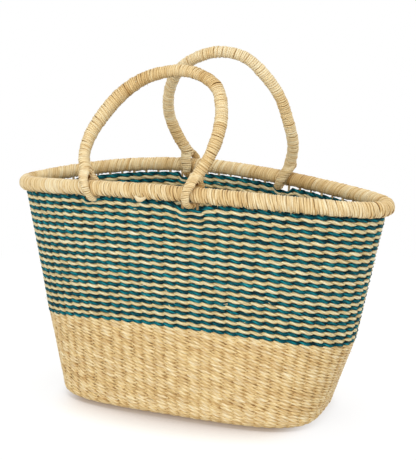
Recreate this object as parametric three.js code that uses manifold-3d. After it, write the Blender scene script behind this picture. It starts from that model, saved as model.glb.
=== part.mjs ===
// Bolga basket: an oval twined straw shopper with two wrapped handles that swing on its rim.
// Millimetres, +Z up. The basket stands on z = 0 with its long axis along X and its front at -Y.
import * as THREE from 'three';
import { mergeVertices } from 'three/addons/utils/BufferGeometryUtils.js';
import Module from 'manifold-3d';

const wasm = await Module();
wasm.setup();

// Fit
const gap = 0.3;

// Rim: the oval of the wrapped bundle's centre line, higher in the middle of the long sides
const rimHalfLength = 215.7;
const rimHalfWidth = 83.2;
const rimPowerShare = 1.89;
const rimEndHeight = 239.9;
const rimArch = 15.4;
// Behind, it stands higher to the left of its middle and lower to the right
const rimRearTilt = 9.9;
const rimRearBend = 3.8;
const rimRadius = 8.1;
const rimWrapThickness = 2.8;

// Lower edge of the striped band: a fuller oval
const bandHalfLength = 186.4;
const bandHalfWidth = 86.1;
const bandPowerShare = 2.19;
const bandHeight = 88.7;
const bandArch = 19.4;

// Base: a rounded rectangle of an oval
const baseHalfLength = 157.6;
const baseHalfWidth = 80.2;
const basePowerShare = 3.6;
const baseCorner = 11;
const baseThickness = 6.6;

// Wall layers, from outside in, and how far the wall's face stands out under the rim
const outerCourse = 2.6;
const stakeThickness = 1.4;
const innerCourse = 2;
const wallOutset = 1.8;
const wall = outerCourse + gap + stakeThickness + gap + innerCourse;

// Striped band
const tealRows = 18;
const rowCount = tealRows * 2 - 1;
const gapUnderRim = 2.6;

// Stakes that carry the rows and bend over into the rim
const stakePitch = 15;
const stakeWidth = 1.8;
const coreRadius = rimRadius - rimWrapThickness - gap;

// Handles. Their ends, and the points just above, stand some way outside their feet.
const handleRadius = 6.8;
const handleWrapThickness = 2.2;
const frontHandle = {
  name: 'front',
  side: -1,
  middle: -33.7,
  halfSpan: 60.6,
  height: 145,
  lean: THREE.MathUtils.degToRad(34),
  leftStart: 8,
  leftLead: 11,
  rightStart: 2.5,
  rightLead: 2.5,
  arch_share: [
    [-1.32, 0.25], [-1.32, 0.43], [-1.11, 0.66], [-0.85, 0.82], [-0.48, 0.94],
    [0.05, 1], [0.49, 0.985], [0.98, 0.87], [1.19, 0.69], [1.25, 0.5], [1.19, 0.3],
  ],
};
const rearHandle = {
  name: 'rear',
  side: 1,
  middle: 17,
  halfSpan: 60.6,
  height: 152.5,
  lean: THREE.MathUtils.degToRad(22),
  leftStart: 0,
  leftLead: 0,
  rightStart: 5,
  rightLead: 8,
  arch_share: [
    [-1.14, 0.235], [-1.28, 0.435], [-1.21, 0.635], [-0.95, 0.82], [-0.52, 0.945],
    [-0.03, 1.005], [0.44, 0.975], [0.78, 0.85], [1.03, 0.695], [1.16, 0.505], [1.23, 0.295],
  ],
};
const handles = [frontHandle, rearHandle];

// Loops that hold the handles to the rim: a flattened strand, free to turn round the wrap
const loopClearance = 0.8;
const loopThickness = 7;
const loopWidth = 10.5;
const loopRadius = rimRadius + loopClearance + loopThickness / 2;
const handleFootClearance = 3.5;
const handleStart = rimRadius + handleFootClearance;
const handleLeadIn = 7;

// Rows part round each loop
const dipHalfWidth = 8;
const dipSlope = 15;
const dipDepth = loopClearance + loopThickness + gap * 2 - gapUnderRim;
const dipRows = 9;
const stakeFromFoot = 8.6;

// Facets
const handleSteps = 26;
const handleSides = 8;
const coreSides = 6;
const loopSteps = 14;
const loopSides = 6;
const rimArcSteps = 8;
const innerLevels = 5;
const endTurnShares = [0.2, 0.4, 0.6, 0.8];

// Straw finishes
function straw(color, roughness) {
  return new THREE.MeshStandardMaterial({ color, roughness, metalness: 0 });
}
const tealStraw = straw(0x145a63, 0.6);
const naturalStraw = straw(0xd6ba84, 0.7);
const paleStraw = straw(0xe3cd99, 0.65);
const tanStraw = straw(0xcfa871, 0.7);

const group = new THREE.Group();
function addPart(name, geometry, material) {
  const mesh = new THREE.Mesh(geometry, material);
  mesh.name = name;
  group.add(mesh);
}

// A closed solid from sections that all have the same number of points, in order along a path.
// A ring joins its last section to its first; an open one is capped at both ends.
function loft(sections, ring) {
  const sides = sections[0].length;
  const positions = sections.flat().flatMap((point) => point.toArray());
  const spans = ring ? sections.length : sections.length - 1;
  const indices = [];
  for (let i = 0; i < spans; i += 1) {
    const near = i * sides;
    const far = ((i + 1) % sections.length) * sides;
    for (let j = 0; j < sides; j += 1) {
      const next = (j + 1) % sides;
      indices.push(near + j, far + j, far + next);
      indices.push(near + j, far + next, near + next);
    }
  }
  if (!ring) {
    addCap(indices, sections[0], 0, false);
    addCap(indices, sections.at(-1), (sections.length - 1) * sides, true);
  }
  const geometry = new THREE.BufferGeometry();
  geometry.setAttribute('position', new THREE.Float32BufferAttribute(positions, 3));
  geometry.setIndex(indices);
  turnOutward(geometry);
  return geometry;
}

// Triangles over one end section, laid out flat in the section's own plane
function addCap(indices, section, offset, last) {
  const centre = section.reduce((sum, point) => sum.add(point), new THREE.Vector3());
  centre.divideScalar(section.length);
  const across = section[0].clone().sub(centre).normalize();
  const normal = new THREE.Vector3();
  section.forEach((point, i) => {
    const next = section[(i + 1) % section.length];
    normal.add(point.clone().sub(centre).cross(next.clone().sub(centre)));
  });
  normal.normalize();
  const upward = normal.clone().cross(across);
  const flat = section.map((point) => {
    const arm = point.clone().sub(centre);
    return new THREE.Vector2(arm.dot(across), arm.dot(upward));
  });
  THREE.ShapeUtils.triangulateShape(flat, []).forEach(([a, b, c]) => {
    indices.push(...(last ? [a, c, b] : [a, b, c]).map((index) => index + offset));
  });
}

// Faces point out of the solid: a negative volume means that all of them are turned
function turnOutward(geometry) {
  const position = geometry.getAttribute('position');
  const index = geometry.getIndex();
  const corner = (i) => new THREE.Vector3().fromBufferAttribute(position, index.getX(i));
  let volume = 0;
  for (let i = 0; i < index.count; i += 3) {
    volume += corner(i).dot(corner(i + 1).cross(corner(i + 2)));
  }
  if (volume < 0) {
    for (let i = 0; i < index.count; i += 3) {
      const kept = index.getX(i + 1);
      index.setX(i + 1, index.getX(i + 2));
      index.setX(i + 2, kept);
    }
  }
}

// Booleans
function toSolid(geometry) {
  const bare = geometry.clone();
  bare.deleteAttribute('normal');
  bare.deleteAttribute('uv');
  const merged = mergeVertices(bare);
  return new wasm.Manifold(new wasm.Mesh({
    numProp: 3,
    vertProperties: new Float32Array(merged.getAttribute('position').array),
    triVerts: new Uint32Array(merged.getIndex().array),
  }));
}

function toGeometry(solid) {
  const mesh = solid.getMesh();
  const geometry = new THREE.BufferGeometry();
  geometry.setAttribute('position', new THREE.Float32BufferAttribute(mesh.vertProperties, 3));
  geometry.setIndex(Array.from(mesh.triVerts));
  return geometry;
}

// Stations round the basket, anticlockwise from the right end. Each is a turn round an oval, with its
// side. Four stand at each handle foot: two at the edges of the loop, two where its dip
// ends.
function footPlaces(handle) {
  return [handle.middle - handle.halfSpan, handle.middle + handle.halfSpan];
}

function turnAt(x) {
  const cosine = Math.sign(x) * (Math.abs(x) / rimHalfLength) ** (rimPowerShare / 2);
  return Math.acos(cosine);
}

function sideTurns(handle) {
  const turns = footPlaces(handle).reverse().flatMap((foot) => [
    turnAt(foot + dipHalfWidth + dipSlope),
    turnAt(foot + dipHalfWidth),
    turnAt(foot - dipHalfWidth),
    turnAt(foot - dipHalfWidth - dipSlope),
  ]);
  const before = endTurnShares.map((share) => turns[0] * share);
  const last = turns.at(-1);
  const after = endTurnShares.map((share) => Math.PI - (Math.PI - last) * share).reverse();
  return [...before, ...turns, ...after];
}

const stations = [
  { turn: 0, side: 0 },
  ...sideTurns(rearHandle).map((turn) => ({ turn, side: 1 })),
  { turn: Math.PI, side: 0 },
  ...sideTurns(frontHandle).reverse().map((turn) => ({ turn, side: -1 })),
];

// An oval's points at the stations, with its arch, which is full in the middle of each long side
function ovalPoints(halfLength, halfWidth, power, height, arch) {
  return stations.map(({ turn, side }) => {
    const cosine = Math.cos(turn);
    const x = halfLength * Math.sign(cosine) * Math.abs(cosine) ** (2 / power);
    const y = side * halfWidth * Math.sin(turn) ** (2 / power);
    return new THREE.Vector3(x, y, height + arch * Math.sin(turn) ** 2);
  });
}

// Outward directions in plan at the stations
function outwardNormals(points) {
  return points.map((_, i) => {
    const before = points.at(i - 1);
    const after = points[(i + 1) % points.length];
    return new THREE.Vector3(after.y - before.y, before.x - after.x, 0).normalize();
  });
}

function rearDrop({ turn, side }) {
  const cosine = Math.cos(turn);
  return side === 1 ? Math.sin(turn) ** 2 * cosine * (rimRearTilt + rimRearBend * cosine) : 0;
}

const rimLine = ovalPoints(rimHalfLength, rimHalfWidth, rimPowerShare, rimEndHeight, rimArch);
rimLine.forEach((point, i) => { point.z -= rearDrop(stations[i]); });
const rimOut = outwardNormals(rimLine);
const bandLine = ovalPoints(bandHalfLength, bandHalfWidth, bandPowerShare, bandHeight, bandArch);
const bandOut = outwardNormals(bandLine);
const baseLine = ovalPoints(baseHalfLength, baseHalfWidth, basePowerShare, baseCorner, 0);
const baseOut = outwardNormals(baseLine);

// A point of the wall: its station, its height as a share of the way from the band's lower edge
// to the rim's centre line, and its depth in from the outer face
function wallPoint(i, share, depth) {
  const low = bandLine[i].clone().addScaledVector(bandOut[i], -depth);
  const top = rimLine[i].clone().addScaledVector(rimOut[i], wallOutset - depth);
  return low.lerp(top, share);
}

// Row edges: row 0's upper edge lies under the rim, and each edge dips near a handle's loop
const feet = handles.flatMap((handle) =>
  footPlaces(handle).map((x) => ({ x, side: handle.side })));
function dipShare(i) {
  const nearest = Math.min(...feet.map((foot) =>
    (foot.side === stations[i].side ? Math.abs(foot.x - rimLine[i].x) : Infinity)));
  return nearest < dipHalfWidth + gap ? 1 : 0;
}
const dips = stations.map((_, i) => dipShare(i));

function edgeShare(i, edge) {
  const length = rimLine[i].distanceTo(bandLine[i]);
  const top = length - rimRadius - gapUnderRim;
  const dip = dipDepth * dips[i] * Math.max(0, 1 - edge / dipRows);
  return (top * (1 - edge / rowCount) - dip) / length;
}

// One row: a closed ring with a ridge outside and a flat back against the stakes
function rowRing(row) {
  return loft(stations.map((_, i) => {
    const length = rimLine[i].distanceTo(bandLine[i]);
    const trim = gap / 2 / length;
    const upper = edgeShare(i, row) - trim;
    const lower = edgeShare(i, row + 1) + trim;
    return [
      wallPoint(i, lower, outerCourse),
      wallPoint(i, (upper + lower) / 2, 0),
      wallPoint(i, upper, outerCourse),
    ];
  }), true);
}

for (let row = 0; row < rowCount; row += 1) {
  const teal = row % 2 === 0;
  const count = Math.floor(row / 2) + 1;
  const name = `${teal ? 'teal' : 'natural'}_row_${String(count).padStart(2, '0')}`;
  addPart(name, rowRing(row), teal ? tealStraw : naturalStraw);
}

// Inner courses: the inside of every striped row, as one sheet behind the stakes
const innerFront = wall - innerCourse;
addPart('inner_courses', loft(stations.map((_, i) => {
  const length = rimLine[i].distanceTo(bandLine[i]);
  const lower = gap / 2 / length;
  const upper = edgeShare(i, 0);
  const levels = Array.from({ length: innerLevels + 1 }, (_, k) =>
    lower + (upper - lower) * k / innerLevels);
  return [
    ...levels.map((level) => wallPoint(i, level, innerFront)),
    ...levels.reverse().map((level) => wallPoint(i, level, wall)),
  ];
}), true), naturalStraw);

// Lower band: the plain natural rows below the stripes, down to the base's rounded edge
function bandPoint(i, share, depth) {
  const low = baseLine[i].clone().addScaledVector(baseOut[i], -depth);
  const high = bandLine[i].clone().addScaledVector(bandOut[i], -depth);
  return low.lerp(high, share);
}

function baseEdge(i, inset, height) {
  const point = baseLine[i].clone().addScaledVector(baseOut[i], -inset);
  point.z = height;
  return point;
}

const cornerIn = baseCorner * (1 - Math.SQRT1_2);
addPart('lower_band', loft(stations.map((_, i) => {
  const length = bandLine[i].distanceTo(baseLine[i]);
  const top = 1 - gap / 2 / length;
  return [
    baseEdge(i, baseCorner, 0),
    baseEdge(i, cornerIn, cornerIn),
    bandPoint(i, 0, 0),
    bandPoint(i, top, 0),
    bandPoint(i, top, wall),
    bandPoint(i, 0, wall),
    baseEdge(i, baseCorner, baseThickness),
  ];
}), true), naturalStraw);

// Base mat: the flat oval that the basket rests on
const matOutline = stations.map((_, i) => {
  const point = baseEdge(i, baseCorner + gap, 0);
  return new THREE.Vector2(point.x, point.y);
});
addPart('base_mat', new THREE.ExtrudeGeometry(new THREE.Shape(matOutline), {
  depth: baseThickness,
  bevelEnabled: false,
}), naturalStraw);

// Stakes and rim core: the upright straws, spaced evenly between the loops, run between the outer
// and inner courses and bend over at the top into one bundle all the way round the rim
const stakeMiddle = outerCourse + gap + stakeThickness / 2;

function stationBetween(i, share, along, depth) {
  const next = (i + 1) % stations.length;
  return wallPoint(i, along, depth).lerp(wallPoint(next, along, depth), share);
}

function footSpan(foot) {
  return stations.findIndex(({ side }, i) => {
    const next = rimLine[(i + 1) % rimLine.length];
    return side === foot.side && (rimLine[i].x - foot.x) * (next.x - foot.x) < 0;
  });
}

// The rim's centre at a foot, halfway between the stations at the edges of its loop
function footCentre(foot) {
  const i = footSpan(foot);
  return rimLine[i].clone().lerp(rimLine[(i + 1) % rimLine.length], 1 / 2);
}

function stakePlaces() {
  const lengths = rimLine.map((point, i) => point.distanceTo(rimLine[(i + 1) % rimLine.length]));
  const starts = lengths.map((_, i) => lengths.slice(0, i).reduce((sum, each) => sum + each, 0));
  const total = starts.at(-1) + lengths.at(-1);
  const stops = feet.map((foot) => {
    const i = footSpan(foot);
    return starts[i] + lengths[i] / 2;
  }).sort((a, b) => a - b);
  const places = [];
  stops.forEach((stop, k) => {
    const from = stop + stakeFromFoot;
    const to = (k + 1 < stops.length ? stops[k + 1] : stops[0] + total) - stakeFromFoot;
    const count = Math.round((to - from) / stakePitch);
    for (let n = 0; n <= count; n += 1) {
      const along = (from + (to - from) * n / count) % total;
      const i = starts.findLastIndex((start) => start <= along);
      places.push({ i, share: (along - starts[i]) / lengths[i] });
    }
  });
  return places;
}

function stake({ i, share }) {
  const next = (i + 1) % stations.length;
  const across = rimLine[next].clone().sub(rimLine[i]).normalize();
  const low = gap / rimLine[i].distanceTo(bandLine[i]);
  return loft([low, 1].map((along) => {
    const corners = [[-1, -1], [1, -1], [1, 1], [-1, 1]];
    return corners.map(([sideways, inward]) =>
      stationBetween(i, share, along, stakeMiddle + inward * stakeThickness / 2)
        .addScaledVector(across, sideways * stakeWidth / 2));
  }), false);
}

// A frame at a rim station: outward, and up along the wall
function rimFrame(i) {
  const before = rimLine.at(i - 1);
  const after = rimLine[(i + 1) % rimLine.length];
  const along = after.clone().sub(before).normalize();
  const up = rimLine[i].clone().sub(bandLine[i]).normalize();
  const out = along.clone().cross(up).normalize();
  return { out, up: out.clone().cross(along).normalize() };
}

function ringPoint(i, radius, angle) {
  const { out, up } = rimFrame(i);
  return rimLine[i].clone()
    .addScaledVector(out, radius * Math.sin(angle))
    .addScaledVector(up, -radius * Math.cos(angle));
}

const coreRing = toSolid(loft(stations.map((_, i) => {
  const angles = Array.from({ length: coreSides }, (__, k) => (k / coreSides) * Math.PI * 2);
  return angles.map((angle) => ringPoint(i, coreRadius, angle));
}), true));
const stakeSolids = stakePlaces().map((place) => toSolid(stake(place)));
addPart('stakes_and_rim_core', toGeometry(wasm.Manifold.union([coreRing, ...stakeSolids])), tanStraw);

// Rim wrap: straw wound round the core. Its underside is open where the stakes come through.
// It is in four lengths, which end under the loops of the handles.
const slotOut = wallOutset - outerCourse;
const slotIn = slotOut - gap * 2 - stakeThickness;

function slotAngle(radius, offset) {
  return Math.asin(offset / radius);
}

function wrapSection(i) {
  const inner = (coreRadius + gap) / Math.cos(Math.PI / rimArcSteps);
  const arc = (radius, from, to) => Array.from({ length: rimArcSteps + 1 }, (_, k) =>
    ringPoint(i, radius, from + (to - from) * k / rimArcSteps));
  const fullTurn = Math.PI * 2;
  const slotFrom = (radius) => slotAngle(radius, slotOut);
  const slotTo = (radius) => slotAngle(radius, slotIn) + fullTurn;
  return [
    ...arc(rimRadius, slotFrom(rimRadius), slotTo(rimRadius)),
    ...arc(inner, slotTo(inner), slotFrom(inner)),
  ];
}

function blend(sectionA, sectionB, share) {
  return sectionA.map((point, k) => point.clone().lerp(sectionB[k], share));
}

function rimWrap(fromFoot, toFoot) {
  const from = footSpan(fromFoot);
  const to = footSpan(toFoot);
  const sections = [];
  const lengthOf = (i) => rimLine[i].distanceTo(rimLine[(i + 1) % rimLine.length]);
  const after = (i) => (i + 1) % stations.length;
  sections.push(blend(wrapSection(from), wrapSection(after(from)), 1 / 2 + gap / 2 / lengthOf(from)));
  for (let i = after(from); i !== after(to); i = after(i)) {
    sections.push(wrapSection(i));
  }
  sections.push(blend(wrapSection(to), wrapSection(after(to)), 1 / 2 - gap / 2 / lengthOf(to)));
  return loft(sections, false);
}

const [frontLeft, frontRight] = feet.filter((foot) => foot.side === frontHandle.side);
const [rearLeft, rearRight] = feet.filter((foot) => foot.side === rearHandle.side);
addPart('rim_wrap_front', rimWrap(frontLeft, frontRight), paleStraw);
addPart('rim_wrap_right', rimWrap(frontRight, rearRight), naturalStraw);
addPart('rim_wrap_rear', rimWrap(rearRight, rearLeft), paleStraw);
addPart('rim_wrap_left', rimWrap(rearLeft, frontLeft), naturalStraw);

// Handles: each is an arch of grass core wrapped in straw, leaning in over the basket, with a loop
// at each foot that goes round the rim
function handleFrame(handle) {
  const [left, right] = footPlaces(handle).map((x) => footCentre({ x, side: handle.side }));
  const along = right.clone().sub(left).normalize();
  const level = new THREE.Vector3(0, -handle.side, 0);
  const up = new THREE.Vector3(0, 0, 1).multiplyScalar(Math.cos(handle.lean))
    .addScaledVector(level, Math.sin(handle.lean));
  up.addScaledVector(along, -up.dot(along)).normalize();
  return { left, right, along, up, halfSpan: left.distanceTo(right) / 2 };
}

function handleCurve(handle) {
  const { left, right, along, up, halfSpan } = handleFrame(handle);
  const middle = left.clone().lerp(right, 1 / 2);
  const at = (u, w) => middle.clone().addScaledVector(along, u).addScaledVector(up, w);
  return new THREE.CatmullRomCurve3([
    at(-halfSpan - handle.leftStart, handleStart),
    at(-halfSpan - handle.leftLead, handleStart + handleLeadIn),
    ...handle.arch_share.map(([u, w]) => at(u * halfSpan, w * handle.height)),
    at(halfSpan + handle.rightLead, handleStart + handleLeadIn),
    at(halfSpan + handle.rightStart, handleStart),
  ], false, 'centripetal');
}

function circle(shape, radius) {
  for (let k = 0; k < handleSides; k += 1) {
    const angle = (k + 1 / 2) / handleSides * Math.PI * 2;
    const x = radius * Math.cos(angle);
    const y = radius * Math.sin(angle);
    if (k === 0) {
      shape.moveTo(x, y);
    } else {
      shape.lineTo(x, y);
    }
  }
  shape.closePath();
  return shape;
}

function tube(curve, radius, bore) {
  const shape = circle(new THREE.Shape(), radius);
  if (bore) shape.holes.push(circle(new THREE.Path(), bore));
  return new THREE.ExtrudeGeometry(shape, {
    steps: handleSteps,
    extrudePath: curve,
    bevelEnabled: false,
  });
}

// A loop round the rim, square to its handle's hinge, open at the top where the handle stands in it
function loopRing(handle, centre) {
  const { along, up } = handleFrame(handle);
  const across = up.clone().cross(along);
  const sections = Array.from({ length: loopSteps }, (_, i) => {
    const turn = (i / loopSteps) * Math.PI * 2;
    const arm = up.clone().multiplyScalar(Math.cos(turn)).addScaledVector(across, Math.sin(turn));
    return Array.from({ length: loopSides }, (__, k) => {
      const angle = (k / loopSides) * Math.PI * 2;
      return centre.clone()
        .addScaledVector(arm, loopRadius + Math.sin(angle) * loopThickness / 2)
        .addScaledVector(along, Math.cos(angle) * loopWidth / 2);
    });
  });
  const opening = new THREE.BoxGeometry(loopWidth * 2, (handleRadius + gap) * 2, loopRadius * 2);
  opening.translate(0, 0, loopRadius);
  opening.applyMatrix4(new THREE.Matrix4().makeBasis(along, across, up));
  opening.translate(...centre.toArray());
  return toGeometry(toSolid(loft(sections, true)).subtract(toSolid(opening)));
}

for (const handle of handles) {
  const { left, right } = handleFrame(handle);
  const curve = handleCurve(handle);
  const bore = handleRadius - handleWrapThickness;
  addPart(`${handle.name}_handle_core`, tube(curve, bore - gap), tanStraw);
  addPart(`${handle.name}_handle_wrap`, tube(curve, handleRadius, bore), paleStraw);
  addPart(`${handle.name}_handle_left_loop`, loopRing(handle, left), paleStraw);
  addPart(`${handle.name}_handle_right_loop`, loopRing(handle, right), paleStraw);
}

// What record.json needs: the hinge of each handle
for (const handle of handles) {
  const { left, right, along, up } = handleFrame(handle);
  const places = [left, right].map((point) => point.toArray().map((value) => value.toFixed(2)));
  const axis = along.toArray().map((value) => value.toFixed(5));
  console.log(`${handle.name} handle: feet ${places.join(' and ')}, axis ${axis}, up ${up.toArray()}`);
}

export default group;
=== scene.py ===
# %% [markdown]
# # A twined straw shopper, straw by straw
#
# The basket in the photograph is twined: upright stakes stand all round, and two strands of straw
# go round them together, one outside and one inside, and change places between every two stakes. A
# bumpy texture on a smooth tub could fake that. Here each strand is laid as real geometry instead,
# because the dark holes, the slanted stitches and the ropy stripes all come from the strands'
# shape, and they stay right from the sides, from inside and from below.
#
# The CAD model gives the frame, and the lengths below repeat its own. The scene is in metres, and a
# basket is easier to read in millimetres, so most lengths are written as millimetres times MM.

# %% Load the frame
import math

import bpy
import numpy as np
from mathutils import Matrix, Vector


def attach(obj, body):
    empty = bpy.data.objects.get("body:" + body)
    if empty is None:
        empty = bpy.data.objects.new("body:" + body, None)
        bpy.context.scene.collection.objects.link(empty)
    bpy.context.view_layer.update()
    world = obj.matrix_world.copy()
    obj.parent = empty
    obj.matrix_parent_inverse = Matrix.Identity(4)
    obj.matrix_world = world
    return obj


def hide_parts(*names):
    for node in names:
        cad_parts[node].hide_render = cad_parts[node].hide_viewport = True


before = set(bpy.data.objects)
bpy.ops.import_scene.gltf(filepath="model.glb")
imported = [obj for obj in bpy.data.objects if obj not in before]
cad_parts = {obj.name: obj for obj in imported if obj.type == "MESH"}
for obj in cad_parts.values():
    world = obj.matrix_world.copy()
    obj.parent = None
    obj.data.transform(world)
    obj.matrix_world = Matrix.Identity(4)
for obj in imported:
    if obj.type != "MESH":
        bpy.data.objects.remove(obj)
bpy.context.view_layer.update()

MM = 0.001

# %% [markdown]
# ## Camera
#
# The photograph was taken from a little to the right of the front and from slightly above. The
# angle comes from fitting the rim's oval and the outline to the picture. A camera can be shifted to
# frame a subject. Here it is aimed at a point near the basket's middle, so no shift is needed.

# %% Camera
azimuth, elevation, distance = math.radians(22.125), math.radians(13.032), 1.22009
aim = Vector((0.01385, 0, 0.19797))
back = Vector((
    math.sin(azimuth) * math.cos(elevation),
    -math.cos(azimuth) * math.cos(elevation),
    math.sin(elevation),
))
camera_data = bpy.data.cameras.new("camera")
camera_data.sensor_width = 36
camera_data.lens = 85.02
camera = bpy.data.objects.new("camera", camera_data)
camera.location = aim + back * distance
camera.rotation_euler = (-back).to_track_quat("-Z", "Y").to_euler()
bpy.context.scene.collection.objects.link(camera)
bpy.context.scene.camera = camera
print("camera at", [round(v, 3) for v in camera.location])

# %% [markdown]
# ## Shader nodes in few words
#
# Every material here is made of nodes and uses no picture. In the shader editor they would be wired
# by hand. In a script, one helper makes a node and fills its inputs with values or with the outputs
# of nodes before it, so that a material reads from top to bottom like a recipe.

# %% Node helpers
def feed(tree, made, *values, **named):
    """Fills a node's inputs, in order or by name, with values or with outputs of other nodes."""
    by_name = ((made.inputs[name.replace("_", " ")], value) for name, value in named.items())
    for socket, value in (*zip(made.inputs, values), *by_name):
        if isinstance(value, bpy.types.NodeSocket):
            tree.links.new(value, socket)
        else:
            socket.default_value = value
    return made


def node(tree, kind, *values, **named):
    return feed(tree, tree.nodes.new(kind), *values, **named)


def maths(tree, operation, *values, kind="ShaderNodeMath", output=0):
    """A result of one Math or Vector Math node."""
    made = tree.nodes.new(kind)
    made.operation = operation
    return feed(tree, made, *values).outputs[output]


def ramp(tree, place, stops):
    """The colour at a place between (place, colour) stops."""
    made = node(tree, "ShaderNodeValToRGB", place)
    band = made.color_ramp.elements
    while len(band) < len(stops):
        band.new(0.5)
    for element, (position, colour) in zip(band, stops):
        element.position = position
        element.color = (*colour, 1)
    return made.outputs["Color"]


print("node helpers ready")

# %% [markdown]
# ## White paper
#
# The photograph is a studio cut-out: white all round, with a soft warm shadow under the basket. The
# floor is a plain pale sheet that throws light back up at the straw. A shadow of the lamps alone
# would come out wide and grey. So what the camera sees of the sheet is set apart by Is Camera Ray:
# a greyer sheet with a glow, and a painted shadow in that glow, which grows dimmer and warmer where
# Ambient Occlusion finds the basket near. Two masks then fade the sheet into painted white, one far
# from the basket and one off the ends of its base, where the photograph's shadow has already faded,
# so that there the lamps' shadow is mostly painted over too.

# %% White paper
shade_reach = 90 * MM
shade_tones = [
    (0.47, (0.26, 0.19, 0.14)), (0.54, (0.50, 0.43, 0.39)), (0.60, (0.61, 0.54, 0.49)),
    (0.69, (0.71, 0.67, 0.62)), (0.80, (0.80, 0.79, 0.75)), (0.95, (0.95, 0.94, 0.92)),
]
far_from, far_to = 0.32, 0.75
shadow_half_length, shadow_half_width = 0.175, 0.32
ends_from, ends_to, ends_white = 0.66, 0.95, 0.88


def paper_material():
    material = bpy.data.materials.new("white_paper")
    material.use_nodes = True
    tree = material.node_tree
    tree.nodes.clear()
    seen = node(tree, "ShaderNodeLightPath").outputs["Is Camera Ray"]
    grey = node(tree, "ShaderNodeMapRange", Value=seen, To_Min=0.7, To_Max=0.3)
    sheet = node(tree, "ShaderNodeBsdfDiffuse", Color=grey.outputs[0])
    openness = node(tree, "ShaderNodeAmbientOcclusion", Distance=shade_reach)
    # Painted shadow: the glow's colour runs from dim and warm, where Ambient Occlusion finds the
    # basket near, to white in the open.
    painted_shadow_colour = ramp(tree, openness.outputs["AO"], shade_tones)
    glow = node(tree, "ShaderNodeEmission", Color=painted_shadow_colour, Strength=seen)
    near = node(tree, "ShaderNodeAddShader", sheet.outputs[0], glow.outputs[0])
    white = node(tree, "ShaderNodeEmission", Color=(1, 1, 1, 1))
    place = node(tree, "ShaderNodeTexCoord").outputs["Object"]

    def from_middle(*squeeze):
        """How far a place is from the middle of the floor, squeezed by so much each way."""
        kind = "ShaderNodeVectorMath"
        squeezed = maths(tree, "MULTIPLY", place, squeeze, kind=kind)
        return maths(tree, "LENGTH", squeezed, kind=kind, output="Value")

    def rise(value, low, high, top):
        """0 up to low, top from high on, and a smooth step between."""
        made = tree.nodes.new("ShaderNodeMapRange")
        made.interpolation_type = "SMOOTHSTEP"
        return feed(tree, made, Value=value, From_Min=low, From_Max=high, To_Max=top).outputs[0]

    far = rise(from_middle(1, 1, 1), far_from, far_to, 1)
    # Painted light: off the ends of the base the sheet is mostly painted white, over the lamps'
    # shadow as well.
    off_ends = rise(from_middle(1 / shadow_half_length, 1 / shadow_half_width, 1),
                    ends_from, ends_to, ends_white)
    mask = maths(tree, "MULTIPLY", maths(tree, "MAXIMUM", far, off_ends), seen)
    whole = node(tree, "ShaderNodeMixShader", mask, near.outputs[0], white.outputs[0])
    node(tree, "ShaderNodeOutputMaterial", Surface=whole.outputs[0])
    return material


reach, floor_gap = 14.0, 0.4 * MM
floor_mesh = bpy.data.meshes.new("floor")
floor_mesh.from_pydata(
    [(-reach, -reach, 0), (reach, -reach, 0), (reach, reach, 0), (-reach, reach, 0)],
    [],
    [(0, 1, 2, 3)],
)
floor_mesh.materials.append(paper_material())
floor = bpy.data.objects.new("floor", floor_mesh)
floor.location.z = -floor_gap
bpy.context.scene.collection.objects.link(floor)
print("floor of", 2 * reach, "m,", round(floor_gap / MM, 1), "mm under the base")

# %% [markdown]
# ## Lamps and world
#
# The light in the photograph is soft and comes from all round. Small lamps would draw hard edges
# between the straws, so six large area lamps stand round the basket, at a level at which straw
# shows about in its own colour. The world is plain white to the camera and dimmer to the straw.

# %% Lamps and world
lamps = {
    "window_left": ((-2.1, -3.7, 2.95), 2.5, 68, (1, 0.99, 0.97)),
    "window_right": ((3.5, -2.65, 2.5), 2.5, 50, (1, 0.99, 0.98)),
    "window_front": ((0.6, -4.5, 0.95), 2.5, 67, (1, 1, 1)),
    "window_top": ((0.2, 0.3, 3.9), 2.8, 30, (1, 1, 1)),
    "window_back": ((2.9, 2.9, 2.5), 2.6, 60, (1, 1, 1)),
    "window_back_left": ((-2.7, 3.3, 2.1), 2.6, 34, (1, 1, 1)),
}
lit_point = Vector((0, 0, 0.17))
for name, (place, size, power, colour) in lamps.items():
    lamp_data = bpy.data.lights.new(name, "AREA")
    lamp_data.size = size
    lamp_data.energy = power
    lamp_data.color = colour
    lamp = bpy.data.objects.new(name, lamp_data)
    lamp.location = place
    lamp.rotation_euler = (lit_point - Vector(place)).to_track_quat("-Z", "Y").to_euler()
    bpy.context.scene.collection.objects.link(lamp)

world = bpy.data.worlds.new("studio")
bpy.context.scene.world = world
world.use_nodes = True
sky = world.node_tree
sky.nodes.clear()
sky_seen = node(sky, "ShaderNodeLightPath").outputs["Is Camera Ray"]
sky_level = node(sky, "ShaderNodeMapRange", Value=sky_seen, To_Min=0.50, To_Max=1.0)
sky_white = node(sky, "ShaderNodeBackground", Color=(1, 1, 1, 1), Strength=sky_level.outputs[0])
node(sky, "ShaderNodeOutputWorld", Surface=sky_white.outputs[0])
bpy.context.scene.view_settings.view_transform = "Standard"
print(len(lamps), "lamps of", sum(power for _, _, power, _ in lamps.values()), "watts together")

# %% [markdown]
# ## The ovals that shape the basket
#
# A basket like this has three guide lines: the rim, the line where the stripes begin, and the edge
# of the base. Each is an oval between an ellipse and a rounded rectangle, which a superellipse
# gives with one number, its power. Curve objects could be bent by hand, but then nothing would say
# how long a row is. The rim and the band rise towards the middle of the long sides, and the rear of
# the rim is tilted as well.

# %% Guide ovals
turns = np.linspace(0, 2 * np.pi, 4001)[:-1]


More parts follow.
